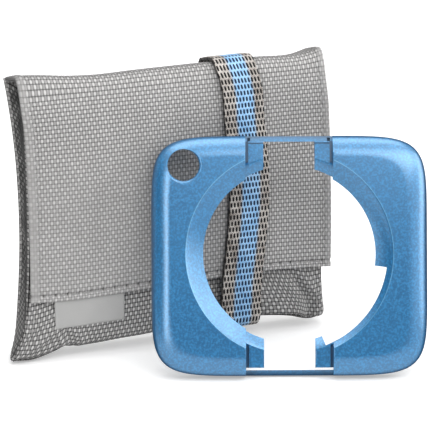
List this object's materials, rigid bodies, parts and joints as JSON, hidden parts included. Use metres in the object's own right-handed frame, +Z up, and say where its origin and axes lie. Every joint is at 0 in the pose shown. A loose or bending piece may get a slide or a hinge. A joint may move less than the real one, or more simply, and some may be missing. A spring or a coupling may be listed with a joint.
{
  "type": "carrying pouch with device cover",
  "caption": "Flat fabric pouch with a folding flap and an elastic strap, with a square clip-on plastic cover with a round opening leaning on its front.",
  "frame": {"origin": "on the surface the set stands on, under the middle of the whole set's box", "axes": "+X across the pouch to the right seen from the front, -Y towards the front, +Z up"},
  "size_m": [0.1284, 0.0768, 0.1007],
  "materials": {
    "woven_nylon": "basket weave, slight sheen",
    "coarse_nylon": "coarse weave",
    "foam": "matte",
    "lining": "smooth",
    "thread": "twisted thread",
    "satin_label": "satin",
    "strap_elastic": "woven elastic, three bands",
    "blue_plastic": "satin metallic"
  },
  "bodies": {
    "pouch": {"back_panel": "woven_nylon", "front_panel": "woven_nylon", "bottom_panel": "woven_nylon", "left_gusset": "coarse_nylon", "right_gusset": "coarse_nylon", "foam_front": "foam", "foam_back": "foam", "lining_front": "lining", "lining_back": "lining", "mouth_hem": "woven_nylon", "left_seam_thread": "thread", "right_seam_thread": "thread"},
    "flap": {"flap_panel": "woven_nylon", "flap_foam": "foam", "flap_lining": "lining", "flap_hem": "woven_nylon", "flap_hem_thread": "thread", "flap_left_thread": "thread", "flap_right_thread": "thread", "label_tag": "satin_label"},
    "strap": {"strap_band": "strap_elastic", "strap_join": "strap_elastic", "strap_join_thread": "thread"},
    "cover": {"cover_shell": "blue_plastic"}
  },
  "joints": [
    {"name": "flap_open", "type": "hinge", "parent": "pouch", "child": "flap", "pos_m": [0, 0.03524, 0.09665], "axis": [-1, 0, 0], "range_deg": [0, 175], "deforming": ["strap_band", "strap_join", "strap_join_thread"]},
    {"name": "strap_slide", "type": "slide", "parent": "pouch", "child": "strap", "axis": [1, 0, 0], "range_m": [-0.012, 0.02]},
    {"name": "cover_draw", "type": "slide", "parent": "pouch", "child": "cover", "axis": [-0.342, -0.9397, 0], "range_m": [0, 0.236]}
  ],
  "couplings": [
    {"joint": "cover_draw", "follows": "flap_open", "m_per_rad": 0.075}
  ]
}
